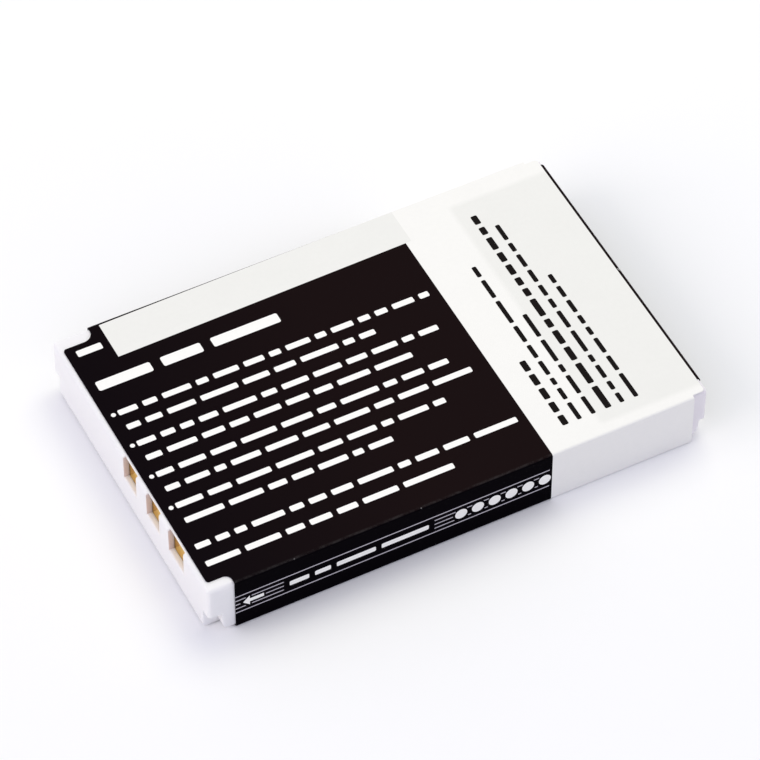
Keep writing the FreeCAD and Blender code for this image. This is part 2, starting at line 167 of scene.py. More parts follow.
class Effects:
    """Shader groups that several finishes share, each built once."""

    broad_detail: float = 3.0
    fine_detail: float = 2.0
    fine_step: float = 7.0
    pit_detail: float = 1.0
    wave_detail: float = 0.0
    line_detail: float = 4.0

    def __init__(self) -> None:
        """Builds all groups."""
        self.mottle = self._mottle()
        self.grain = self._grain()
        self.streaks = self._streaks()
        self.band = self._band()
        self.specks = self._specks()

    @staticmethod
    def _start(name: str, inputs: dict[str, float], outputs: Sequence[str]) -> tuple[Graph, Node, Node]:
        """Opens a group with number inputs and outputs.

        Args:
            name: name of the group.
            inputs: names and usual values of its inputs.
            outputs: names of its outputs.

        Returns:
            The group's graph, its input node and its output node.
        """
        tree = bpy.data.node_groups.new(name, "ShaderNodeTree")
        for key, value in inputs.items():
            socket = tree.interface.new_socket(key, in_out="INPUT", socket_type="NodeSocketFloat")
            socket.default_value = value
        for key in outputs:
            tree.interface.new_socket(key, in_out="OUTPUT", socket_type="NodeSocketFloat")
        return Graph(tree), tree.nodes.new("NodeGroupInput"), tree.nodes.new("NodeGroupOutput")

    def _mottle(self) -> Tree:
        """Makes a cloudy change of tone: Tone is a factor about 1, and Cloud runs from 0 to 1.

        Returns:
            The group.
        """
        graph, given, result = self._start("Mottle", {"Scale": 400.0, "Amount": 0.05}, ("Tone", "Cloud"))
        place = graph.place()
        scale = given.outputs["Scale"]
        broad = graph.noise(place, scale, self.broad_detail)
        fine = graph.noise(place, graph.math("MULTIPLY", scale, self.fine_step), self.fine_detail)
        both = graph.math("ADD", broad, fine)
        swing = graph.math("SUBTRACT", both, 1.0)
        tone = graph.math("ADD", graph.math("MULTIPLY", swing, given.outputs["Amount"]), 1.0)
        graph.feed(result, {"Tone": tone, "Cloud": graph.math("MULTIPLY", both, 0.5)})
        return graph.tree

    def _grain(self) -> Tree:
        """Makes the fine pits of a moulded or coated surface, as a height, with a slow waviness.

        Returns:
            The group.
        """
        inputs = {"Scale": 9000.0, "Fine": 0.5, "Wave Scale": 120.0, "Wave": 0.5}
        graph, given, result = self._start("Fine Grain", inputs, ("Height",))
        place = graph.place()
        pits = graph.noise(place, given.outputs["Scale"], self.pit_detail)
        wave = graph.noise(place, given.outputs["Wave Scale"], self.wave_detail)
        fine = graph.math("MULTIPLY", pits, given.outputs["Fine"])
        slow = graph.math("MULTIPLY", wave, given.outputs["Wave"])
        graph.feed(result, {"Height": graph.math("ADD", fine, slow)})
        return graph.tree

    def _streaks(self) -> Tree:
        """Makes the fine lines of drawn or rolled metal, with one scale along each axis.

        Returns:
            The group.
        """
        inputs = {"Scale X": 200.0, "Scale Y": 6000.0, "Scale Z": 6000.0}
        graph, given, result = self._start("Drawn Streaks", inputs, ("Line",))
        scales = {axis.value: given.outputs[axis.value] for axis in Axis}
        spread = graph.add("ShaderNodeCombineXYZ", scales).outputs[0]
        vector = graph.add("ShaderNodeVectorMath", {0: graph.place(), 1: spread}, operation="MULTIPLY")
        graph.feed(result, {"Line": graph.noise(vector.outputs[0], 1.0, self.line_detail)})
        return graph.tree

    def _band(self) -> Tree:
        """Makes the mask of a value between two limits, with a short soft edge at each.

        Returns:
            The group.
        """
        inputs = {"Value": 0.0, "Low": 0.0, "High": FAR, "Soft": SOFT}
        graph, given, result = self._start("Band", inputs, ("Mask",))
        edges = []
        for first, second in (("Value", "Low"), ("High", "Value")):
            gap = graph.math("SUBTRACT", given.outputs[first], given.outputs[second])
            steep = graph.math("DIVIDE", gap, given.outputs["Soft"])
            edges.append(graph.math("ADD", steep, 0.5, clamp=True))
        graph.feed(result, {"Mask": graph.math("MULTIPLY", *edges)})
        return graph.tree

    def _specks(self) -> Tree:
        """Makes the mask of scattered dust: a share of the cells holds one small speck each.

        Returns:
            The group.
        """
        inputs = {"Cells": 300.0, "Radius": 0.08, "Share": 0.1}
        graph, given, result = self._start("Dust Specks", inputs, ("Mask",))
        cells = graph.add("ShaderNodeTexVoronoi", {"Vector": graph.place(), "Scale": given.outputs["Cells"]})
        near = graph.math("LESS_THAN", cells.outputs["Distance"], given.outputs["Radius"])
        draw = graph.add("ShaderNodeSeparateColor", {0: cells.outputs["Color"]})
        chosen = graph.math("LESS_THAN", draw.outputs[0], given.outputs["Share"])
        graph.feed(result, {"Mask": graph.math("MULTIPLY", near, chosen)})
        return graph.tree


EFFECTS = Effects()


def band(graph: Graph, value: Link, low: float = -FAR, high: float = FAR, soft: float = SOFT) -> Socket:
    """Places the mask of a value between two limits.

    Args:
        graph: graph of the material.
        value: value that is tested.
        low: lower limit.
        high: upper limit.
        soft: width of the soft edge at each limit.

    Returns:
        The socket with the mask.
    """
    inputs = {"Value": value, "Low": low, "High": high, "Soft": soft}
    return graph.group(EFFECTS.band, inputs).outputs["Mask"]


def cloud(graph: Graph, scale: float) -> Socket:
    """Places clouds that run from 0 to 1."""
    return graph.group(EFFECTS.mottle, {"Scale": scale}).outputs["Cloud"]


def streaks(graph: Graph, scales: Sequence[float]) -> Socket:
    """Places fine lines, with one scale along each axis."""
    inputs = {f"Scale {axis.name}": scale for axis, scale in zip(Axis, scales)}
    return graph.group(EFFECTS.streaks, inputs).outputs["Line"]


@dataclass(frozen=True)
class Grain:
    """The pits and the slow waviness of a surface."""

    scale: float
    fine: float
    wave_scale: float
    wave: float

    def height(self, graph: Graph) -> Socket:
        """Places the grain as a height."""
        inputs = {"Scale": self.scale, "Fine": self.fine, "Wave Scale": self.wave_scale, "Wave": self.wave}
        return graph.group(EFFECTS.grain, inputs).outputs["Height"]


@dataclass(frozen=True)
class Dust:
    """The scattered specks on a surface."""

    cells: float
    radius: float
    share: float

    def mask(self, graph: Graph) -> Socket:
        """Places the specks as a mask."""
        inputs = {"Cells": self.cells, "Radius": self.radius, "Share": self.share}
        return graph.group(EFFECTS.specks, inputs).outputs["Mask"]


def new_material(name: str, **constants: Link) -> tuple[Material, Graph, Node]:
    """Starts a material with one Principled shader.

    Args:
        name: name of the material.
        **constants: values of shader sockets that are the same all over, with _ for a space.

    Returns:
        The material, its graph and its shader.
    """
    material = bpy.data.materials.new(name)
    material.use_nodes = True
    shader = material.node_tree.nodes["Principled BSDF"]
    for key, value in constants.items():
        shader.inputs[key.replace("_", " ")].default_value = value
    return material, Graph(material.node_tree), shader


@dataclass(frozen=True)
class Surface:
    """What every finish has: its tone, its gloss and the depth of its texture."""

    name: str
    colour: Colour
    roughness: float
    mottle_scale: float = 300.0
    mottle: float = 0.04
    bump: float = 0.1
    bump_depth: float = 0.02 * MM
    gloss_step: float = 1.7
    gloss_spread: float = 0.12

    def tinted(self, graph: Graph, base: Link) -> Socket:
        """Gives the colour a cloudy change of tone.

        Args:
            graph: graph of the material.
            base: colour before the change.

        Returns:
            The socket with the changed colour.
        """
        inputs = {"Scale": self.mottle_scale, "Amount": self.mottle}
        tone = graph.group(EFFECTS.mottle, inputs).outputs["Tone"]
        grey = graph.add("ShaderNodeCombineColor", {0: tone, 1: tone, 2: tone}).outputs[0]
        return graph.mix(1.0, base, grey, blend="MULTIPLY")

    def clouded(self, graph: Graph) -> Socket:
        """Gives a roughness that changes over the surface.

        Args:
            graph: graph of the material.

        Returns:
            The socket with the roughness.
        """
        patches = cloud(graph, self.mottle_scale * self.gloss_step)
        low = self.roughness - self.gloss_spread / 2
        return graph.math("ADD", graph.math("MULTIPLY", patches, self.gloss_spread), low)

    def bumped(self, graph: Graph, height: Link) -> Socket:
        """Turns a height into a normal."""
        inputs = {"Strength": self.bump, "Distance": self.bump_depth, "Height": height}
        return graph.add("ShaderNodeBump", inputs).outputs[0]

    def coat(self, graph: Graph, shader: Node, colour: Link, height: Link) -> None:
        """Joins the surface to its shader.

        Args:
            graph: graph of the material.
            shader: shader of the material.
            colour: colour of the surface.
            height: height of its texture.
        """
        rough, normal = self.clouded(graph), self.bumped(graph, height)
        graph.feed(shader, {"Base Color": colour, "Roughness": rough, "Normal": normal})


@dataclass(frozen=True)
class MouldedPlastic(Surface):
    """Plain moulded plastic with a fine satin texture and a little dust."""

    sheen: float = 0.35
    glow: float = 0.0
    glow_reach: float = 0.5 * MM
    glow_spread: Colour = WHITE
    grain: Grain = Grain(scale=7000.0, fine=0.6, wave_scale=180.0, wave=0.4)
    dust: Dust = Dust(cells=420.0, radius=0.035, share=0.02)
    dust_colour: Colour = (0.42, 0.4, 0.38)

    def _tone(self, graph: Graph) -> Link:
        """Gives the plastic's own colour."""
        return self.colour

    def build(self) -> Material:
        """Makes the material.

        Returns:
            The new material.
        """
        material, graph, shader = new_material(
            self.name,
            Specular_IOR_Level=self.sheen,
            Subsurface_Weight=self.glow,
            Subsurface_Scale=self.glow_reach,
            Subsurface_Radius=self.glow_spread,
        )
        clean = self.tinted(graph, self._tone(graph))
        dusty = graph.mix(self.dust.mask(graph), clean, self.dust_colour)
        self.coat(graph, shader, dusty, self.grain.height(graph))
        return material


@dataclass(frozen=True)
class WindowedPlastic(MouldedPlastic):
    """Moulded plastic with windows, whose far walls carry painted shade with a painted gold reflection, and
    whose sills carry painted light.
    """

    low: Vector = Vector((0.0, 0.0, 0.0))
    high: Vector = Vector((0.0, 0.0, 0.0))
    # Painted shade with a painted gold reflection for the windows' far walls, and painted light for their
    # sills.
    wall: Colour = (0.74, 0.62, 0.6)
    sill: Colour = (0.98, 0.95, 0.95)
    facing: float = 0.6

    def _tone(self, graph: Graph) -> Link:
        """Gives the plastic's colour, with painted shade on the far walls and painted light on the sills
        inside the windows' box.

        Args:
            graph: graph of the material.

        Returns:
            The socket with the colour.
        """
        inside: Link = 1.0
        for value, low, high in zip(graph.along(), self.low, self.high):
            inside = graph.math("MULTIPLY", inside, band(graph, value, low, high))
        normal = graph.add("ShaderNodeNewGeometry", {}).outputs["Normal"]
        _, y, z = graph.add("ShaderNodeSeparateXYZ", {0: normal}).outputs
        # Painted shade on the walls that face the front, painted light on the sills.
        painted_shade_walls = graph.math("MULTIPLY", inside, graph.math("LESS_THAN", y, -self.facing))
        painted_light_sills = graph.math("MULTIPLY", inside, graph.math("GREATER_THAN", z, self.facing))
        return graph.mix(painted_light_sills, graph.mix(painted_shade_walls, self.colour, self.wall), self.sill)


@dataclass(frozen=True)
class PrintedFields(Surface):
    """Film printed in dark and white fields. Its long sides take darker copies of the print, a painted
    shade; its dark field lightens away from the contact end, a painted reflection; and its top folds carry a
    faint painted highlight.

    The strip slants a little against the film, so its two long edges are lines with one slope.
    """

    sheen: float = 0.007
    # The dark field runs from deep at the contact end to colour past the middle: a painted reflection.
    deep: Colour = (0.0045, 0.0026, 0.004)
    reflection_middle: float = -14.0 * MM
    reflection_soft: float = 22.0 * MM
    white: Colour = (0.922, 0.914, 0.878)
    panel: Colour = (0.853, 0.85, 0.812)
    # A darker copy of the white for the long sides: painted shade.
    shaded_side_white: Colour = (0.88, 0.868, 0.84)
    # Pale colour of the painted fold highlight, the pale spots and the dust.
    glint_and_marks: Colour = (0.42, 0.41, 0.4)
    grain: Grain = Grain(scale=5200.0, fine=0.35, wave_scale=90.0, wave=0.9)
    dust: Dust = Dust(cells=330.0, radius=0.03, share=0.12)
    dust_level: float = 0.35
    # A faint painted highlight along the two top folds, broken into patches.
    fold_share: float = 0.05
    fold_patch: float = 1500.0
    fold_patch_soft: float = 0.2
    fold_reach: Span = (-0.22 * MM, 0.06 * MM)
    fold_soft: float = 0.16 * MM
    fold_drop: float = 0.35 * MM
    # Small pale spots with ragged rims on the top folds and the tail fold.
    spot_r: float = 0.053 * MM
    spot_share: float = 0.6
    spot_ragged: float = 0.3 * MM
    spot_grain: float = 3000.0
    fold_spots: tuple[float, ...] = (-17.6 * MM, -4.45 * MM)
    tail_spot: tuple[float, float, float] = (26.26 * MM, 0.42 * MM, 6.52 * MM)
    tail_spot_r: float = 0.19 * MM
    field_start: float = 9.42 * MM
    field_end: float = 26.02 * MM
    panel_start: float = 15.3 * MM
    panel_front: float = -15.9 * MM
    panel_back: float = 14.96 * MM
    panel_soft: float = 0.6 * MM
    strip_start: float = -21.6 * MM
    strip_end: float = 10.05 * MM
    strip_front: float = 12.39 * MM
    strip_back: float = 16.84 * MM
    strip_slope: float = 0.0132
    top: float = 6.6 * MM
    side: float = 17.18 * MM
    side_soft: float = 0.05 * MM
    # A darker copy of the dark print for the long sides: painted shade.
    shaded_side_dark: Colour = (0.001, 0.0004, 0.0015)

    def _fields(self, graph: Graph) -> tuple[Socket, Socket]:
        """Finds the white fields, which are the tail end and the strip along the back edge.

        Args:
            graph: graph of the material.

        Returns:
            The mask of both fields, and the mask of their duller panels.
        """
        x, y, z = graph.along()
        over = graph.math("SUBTRACT", y, graph.math("SUBTRACT", z, self.top))
        run = graph.math("MULTIPLY", graph.math("SUBTRACT", x, self.strip_start), self.strip_slope)
        across = band(graph, graph.math("SUBTRACT", over, run), self.strip_front, self.strip_back)
        length = band(graph, x, self.strip_start, self.strip_end)
        tail = band(graph, x, self.field_start, self.field_end)
        upper = graph.math("GREATER_THAN", z, self.top / 2)
        strip = graph.math("MULTIPLY", upper, graph.math("MULTIPLY", across, length))
        past = band(graph, x, low=self.panel_start, soft=self.panel_soft)
        before = band(graph, y, self.panel_front, self.panel_back, self.panel_soft)
        box = graph.math("MULTIPLY", upper, graph.math("MULTIPLY", past, before))
        return graph.math("MAXIMUM", strip, tail), graph.math("MAXIMUM", strip, box)

    def _shaded_sides(self, graph: Graph) -> Socket:
        """Gives the mask of the two long sides, where the painted shade goes."""
        _, y, _ = graph.along()
        return band(graph, graph.math("ABSOLUTE", y), low=self.side - self.side_soft, soft=self.side_soft)

    def _glint_and_spots(self, graph: Graph) -> Socket:
        """Finds the pale places: a faint painted highlight along the two top folds, and a few pale spots.

        Args:
            graph: graph of the material.

        Returns:
            The socket with the mask.
        """
        _, y, z = graph.along()
        drop = graph.math("SUBTRACT", self.top, z)
        reach = graph.math("ADD", graph.math("ABSOLUTE", y), drop)
        # The fold band is a painted highlight.
        low, high = (self.side + edge for edge in self.fold_reach)
        fold = band(graph, reach, low, high, self.fold_soft)
        broken = band(graph, cloud(graph, self.fold_patch), low=HALF_CLOUD, soft=self.fold_patch_soft)
        near = band(graph, drop, high=self.fold_drop, soft=self.fold_soft)
        pale_share = graph.math("MULTIPLY", near, graph.math("MULTIPLY", broken, self.fold_share))
        glint_and_marks = graph.math("MULTIPLY", fold, pale_share)
        place = graph.place()
        swing = graph.math("SUBTRACT", cloud(graph, self.spot_grain), HALF_CLOUD)
        ragged = graph.math("MULTIPLY", swing, self.spot_ragged)
        crest = (-self.side + self.spot_r, self.top - self.spot_r)
        spots = [((x, *crest), self.spot_r) for x in self.fold_spots]
        for middle, radius in (*spots, (self.tail_spot, self.tail_spot_r)):
            away = graph.add("ShaderNodeVectorMath", {0: place, 1: middle}, operation="DISTANCE")
            inside = graph.math("LESS_THAN", graph.math("ADD", away.outputs["Value"], ragged), radius)
            glint_and_marks = graph.math("MAXIMUM", glint_and_marks, graph.math("MULTIPLY", inside, self.spot_share))
        return glint_and_marks

    def build(self) -> Material:
        """Makes the material.

        Returns:
            The new material.
        """
        material, graph, shader = new_material(self.name, Specular_IOR_Level=self.sheen)
        fields, panels = self._fields(graph)
        flank = self._shaded_sides(graph)
        # A painted reflection: the dark field lightens from deep at the contact end to colour past the
        # middle.
        lift = band(graph, graph.along()[0], low=self.reflection_middle, soft=self.reflection_soft)
        # Painted shade: the long sides take darker copies of both prints.
        dark = graph.mix(flank, graph.mix(lift, self.deep, self.colour), self.shaded_side_dark)
        pale = graph.mix(flank, graph.mix(panels, self.white, self.panel), self.shaded_side_white)
        printed = graph.mix(fields, dark, pale)
        dust = graph.math("MULTIPLY", self.dust.mask(graph), self.dust_level)
        # The pale colour covers the painted fold highlight, the pale spots and the dust.
        pale_share = graph.math("MAXIMUM", self._glint_and_spots(graph), dust)
        colour = graph.mix(pale_share, self.tinted(graph, printed), self.glint_and_marks)
        self.coat(graph, shader, colour, self.grain.height(graph))
        return material


@dataclass(frozen=True)
class Ink(Surface):
    """Screen-printed ink with a slightly uneven coat."""

    sheen: float = 0.2
    grain: Grain = Grain(scale=8000.0, fine=0.5, wave_scale=700.0, wave=0.3)

    def build(self) -> Material:
        """Makes the material.

        Returns:
            The new material.
        """
        material, graph, shader = new_material(self.name, Specular_IOR_Level=self.sheen)
        self.coat(graph, shader, self.tinted(graph, self.colour), self.grain.height(graph))
        return material


@dataclass(frozen=True)
class WorkedMetal(Surface):
    """Drawn, rolled or plated metal with fine lines along one axis and patches of tarnish."""

    bump_depth: float = 0.004 * MM
    lines_along: Axis = Axis.X
    line_scale: float = 250.0
    cross_scale: float = 9000.0
    line_gloss: float = 0.16
    edge: Colour = WHITE
    tarnish: Colour = (0.3, 0.27, 0.22)
    tarnish_share: float = 0.25
    tarnish_from: float = 0.45
    tarnish_gain: float = 2.0

    def _tone(self, graph: Graph) -> Socket:
        """Gives the metal's colour with its tarnish.

        Args:
            graph: graph of the material.

        Returns:
            The socket with the colour.
        """
        past = graph.math("SUBTRACT", cloud(graph, self.mottle_scale), self.tarnish_from)
        patch = graph.math("MULTIPLY", past, self.tarnish_gain, clamp=True)
        dulled = graph.math("MULTIPLY", patch, self.tarnish_share)
        return graph.mix(dulled, self.tinted(graph, self.colour), self.tarnish)

    def build(self) -> Material:
        """Makes the material.

        Returns:
            The new material.
        """
        material, graph, shader = new_material(self.name, Metallic=1.0, Specular_Tint=(*self.edge, 1.0))
        scales = (self.line_scale if axis is self.lines_along else self.cross_scale for axis in Axis)
        line = streaks(graph, tuple(scales))
        smooth = self.roughness - self.line_gloss / 2
        rough = graph.math("ADD", graph.math("MULTIPLY", line, self.line_gloss), smooth)
        normal = self.bumped(graph, line)
        graph.feed(shader, {"Base Color": self._tone(graph), "Roughness": rough, "Normal": normal})
        return material


@dataclass(frozen=True)
class GiltPlate(WorkedMetal):
    """Gilt plate darkened along the far wall and the sill of its window: painted shade and painted
    reflection of the window's dark walls.
    """

    wall: float = 0.0
    wall_soft: float = 0.4 * MM
    sill: float = 0.0
    sill_soft: float = 0.12 * MM
    # Painted shade and painted reflection along the window's far wall and sill.
    painted_rim_shade: Colour = (0.14, 0.075, 0.018)

    def _tone(self, graph: Graph) -> Socket:
        """Gives the gilt's colour with its painted shade rims.

        Args:
            graph: graph of the material.

        Returns:
            The socket with the colour.
        """
        _, y, z = graph.along()
        beside = band(graph, y, low=self.wall - self.wall_soft / 2, soft=self.wall_soft)
        below = band(graph, z, high=self.sill + self.sill_soft / 2, soft=self.sill_soft)
        return graph.mix(graph.math("MAXIMUM", beside, below), super()._tone(graph), self.painted_rim_shade)


@dataclass(frozen=True)
class PressedFibre(Surface):
    """Pressed fibre or foam pad with short threads in it."""

    sheen: float = 0.2
    thread_scales: tuple[float, float, float] = (900.0, 2600.0, 9000.0)
    thread_gain: float = 1.25

    def build(self) -> Material:
        """Makes the material.

        Returns:
            The new material.
        """
        material, graph, shader = new_material(self.name, Specular_IOR_Level=self.sheen)
        threads = streaks(graph, self.thread_scales)
        pale = tuple(min(1.0, part * self.thread_gain) for part in self.colour)
        colour = graph.mix(threads, self.tinted(graph, self.colour), pale)
        self.coat(graph, shader, colour, threads)
        return material


@dataclass(frozen=True)
class Laminate(Surface):
    """Lacquered board with paler lines where copper runs under the lacquer."""

    lacquer: float = 0.4
    trace: Colour = (0.08, 0.34, 0.17)
    trace_pitch: float = 1.1 * MM
    trace_share: Span = (0.3, 0.62)
    trace_soft: float = 0.05
    trace_patch: float = 260.0

    def build(self) -> Material:
        """Makes the material.

        Returns:
            The new material.
        """
        material, graph, shader = new_material(self.name, Coat_Weight=self.lacquer)
        _, y, z = graph.along()
        rows = graph.math("FRACT", graph.math("DIVIDE", graph.math("ADD", y, z), self.trace_pitch))
        lines = band(graph, rows, *self.trace_share, self.trace_soft)
        patch = graph.math("GREATER_THAN", cloud(graph, self.trace_patch), HALF_CLOUD)
        runs = graph.math("MULTIPLY", lines, patch)
        self.coat(graph, shader, graph.mix(runs, self.tinted(graph, self.colour), self.trace), runs)
        return material


@dataclass(frozen=True)
class TinnedEnds(Surface):
    """A moulded or fired body whose metal ends lie beyond a distance from its middle."""

    axis: Axis = Axis.Y
    middle: float = 0.0
    body_half: float = 0.5 * MM
    tin: Colour = (0.66, 0.66, 0.64)
    tin_gloss: float = 0.25
    grain: Grain = Grain(scale=6000.0, fine=0.7, wave_scale=900.0, wave=0.3)

    def build(self) -> Material:
        """Makes the material.

        Returns:
            The new material.
        """
        material, graph, shader = new_material(self.name)
        offset = graph.math("SUBTRACT", graph.along()[self.axis.value], self.middle)
        ends = band(graph, graph.math("ABSOLUTE", offset), low=self.body_half)
        gloss = graph.math("MULTIPLY", ends, -self.tin_gloss)
        sockets = {
            "Base Color": graph.mix(ends, self.tinted(graph, self.colour), self.tin),
            "Metallic": ends,
            "Roughness": graph.math("ADD", self.clouded(graph), gloss),
            "Normal": self.bumped(graph, self.grain.height(graph)),
        }
        graph.feed(shader, sockets)
        return material


def dress(node: str, finish: Surface) -> None:
    """Gives a carried-over node its finish and reports it.

    Args:
        node: name of the node.
        finish: finish that it gets.
    """
    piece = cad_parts[node]
    piece.data.materials.clear()
    piece.data.materials.append(finish.build())
    LOG.info("dressed %s in %s", node, finish.name)


@dataclass(frozen=True)
class PrintFace:
    """A flat face of the film that takes print, with the directions in which its rows run and stack."""

    origin: Vector
    across: Vector
    up: Vector

    def point(self, u: float, v: float, lift: float) -> Vector:
        """Puts a flat point of the print in space, raised off the film by lift."""
        return self.origin + self.across * u + self.up * v + self.across.cross(self.up) * lift


def bar_outline(u0: float, u1: float, v0: float, v1: float, radius: float, steps: int = 4) -> Outline:
    """Outline of a bar with rounded corners.

    Args:
        u0: start along the row.
        u1: end along the row.
        v0: lower edge.
        v1: upper edge.
        radius: radius of the corners.
        steps: straight pieces in each corner.

    Returns:
        The points, counter-clockwise.
    """
    points: Outline = []
    left, right = u0 + radius, u1 - radius
    low, high = v0 + radius, v1 - radius
    for quarter, (u, v) in enumerate(((right, low), (right, high), (left, high), (left, low))):
        for step in range(steps + 1):
            angle = math.pi / 2 * (quarter - 1 + step / steps)
            points.append((u + radius * math.cos(angle), v + radius * math.sin(angle)))
    return points


def dot_outline(u: float, v: float, radius: float, steps: int = 32) -> Outline:
    """Outline of a round dot.

    Args:
        u: middle along the row.
        v: middle across it.
        radius: radius of the dot.
        steps: straight pieces in its rim.

    Returns:
        The points, counter-clockwise.
    """
    angles = (2 * math.pi * step / steps for step in range(steps))
    return [(u + radius * math.cos(angle), v + radius * math.sin(angle)) for angle in angles]


@dataclass
class InkSheet:
    """One colour of print on one face of the film: many thin closed slabs in one mesh, in millimetres."""

    name: str
    face: PrintFace
    proud: float = 0.006
    sunk: float = 0.004
    outlines: list[Outline] = field(default_factory=list)

    def add(self, *outlines: Outline, slope: float = 0.0) -> None:
        """Adds shapes, sheared by the slope of the print."""
        self.outlines += [[(u, v + slope * u) for u, v in outline] for outline in outlines]

    def build(self, finish: Ink, slot: str) -> bpy.types.Object:
        """Makes the mesh and dresses it.

        Args:
            finish: ink that it is printed in.
            slot: not used.

        Returns:
            The new piece.
        """
        mesh = bmesh.new()
        for outline in self.outlines:
            low, high = (
                [mesh.verts.new(self.face.point(u * MM, v * MM, lift * MM)) for u, v in outline]
                for lift in (-self.sunk, self.proud)
            )
            mesh.faces.new(high)
            mesh.faces.new(low[::-1])
            for i in range(len(outline)):
                j = (i + 1) % len(outline)
                mesh.faces.new((low[i], low[j], high[j], high[i]))
        data = bpy.data.meshes.new(self.name)
        mesh.to_mesh(data)
        mesh.free()
        data.materials.append(finish.build())
        piece = bpy.data.objects.new(self.name, data)
        bpy.context.scene.collection.objects.link(piece)
        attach(piece, BODY)
        LOG.info("printed %s with %d shapes", self.name, len(self.outlines))
        return piece


@dataclass
class WordRows:
    """Rows of plain bars in the place of printed words, in millimetres."""

    height: float
    gap: float
    lengths: Span
    draw: random.Random
    corner: float = 0.14

    def bars(self, start: float, end: float, middle: float) -> Iterator[Outline]:
        """Gives the bars of one row.

        Args:
            start: start of the row.
            end: end of the row.
            middle: middle line of the row.

        Yields:
            The outline of each bar.
        """
        shortest, longest = self.lengths
        low, high = middle - self.height / 2, middle + self.height / 2
        at = start
        while end - at > shortest:
            length = min(self.draw.uniform(shortest, longest), end - at)
            if end - at - length < shortest + self.gap:
                length = end - at
            yield bar_outline(at, at + length, low, high, self.corner)
            at += length + self.gap


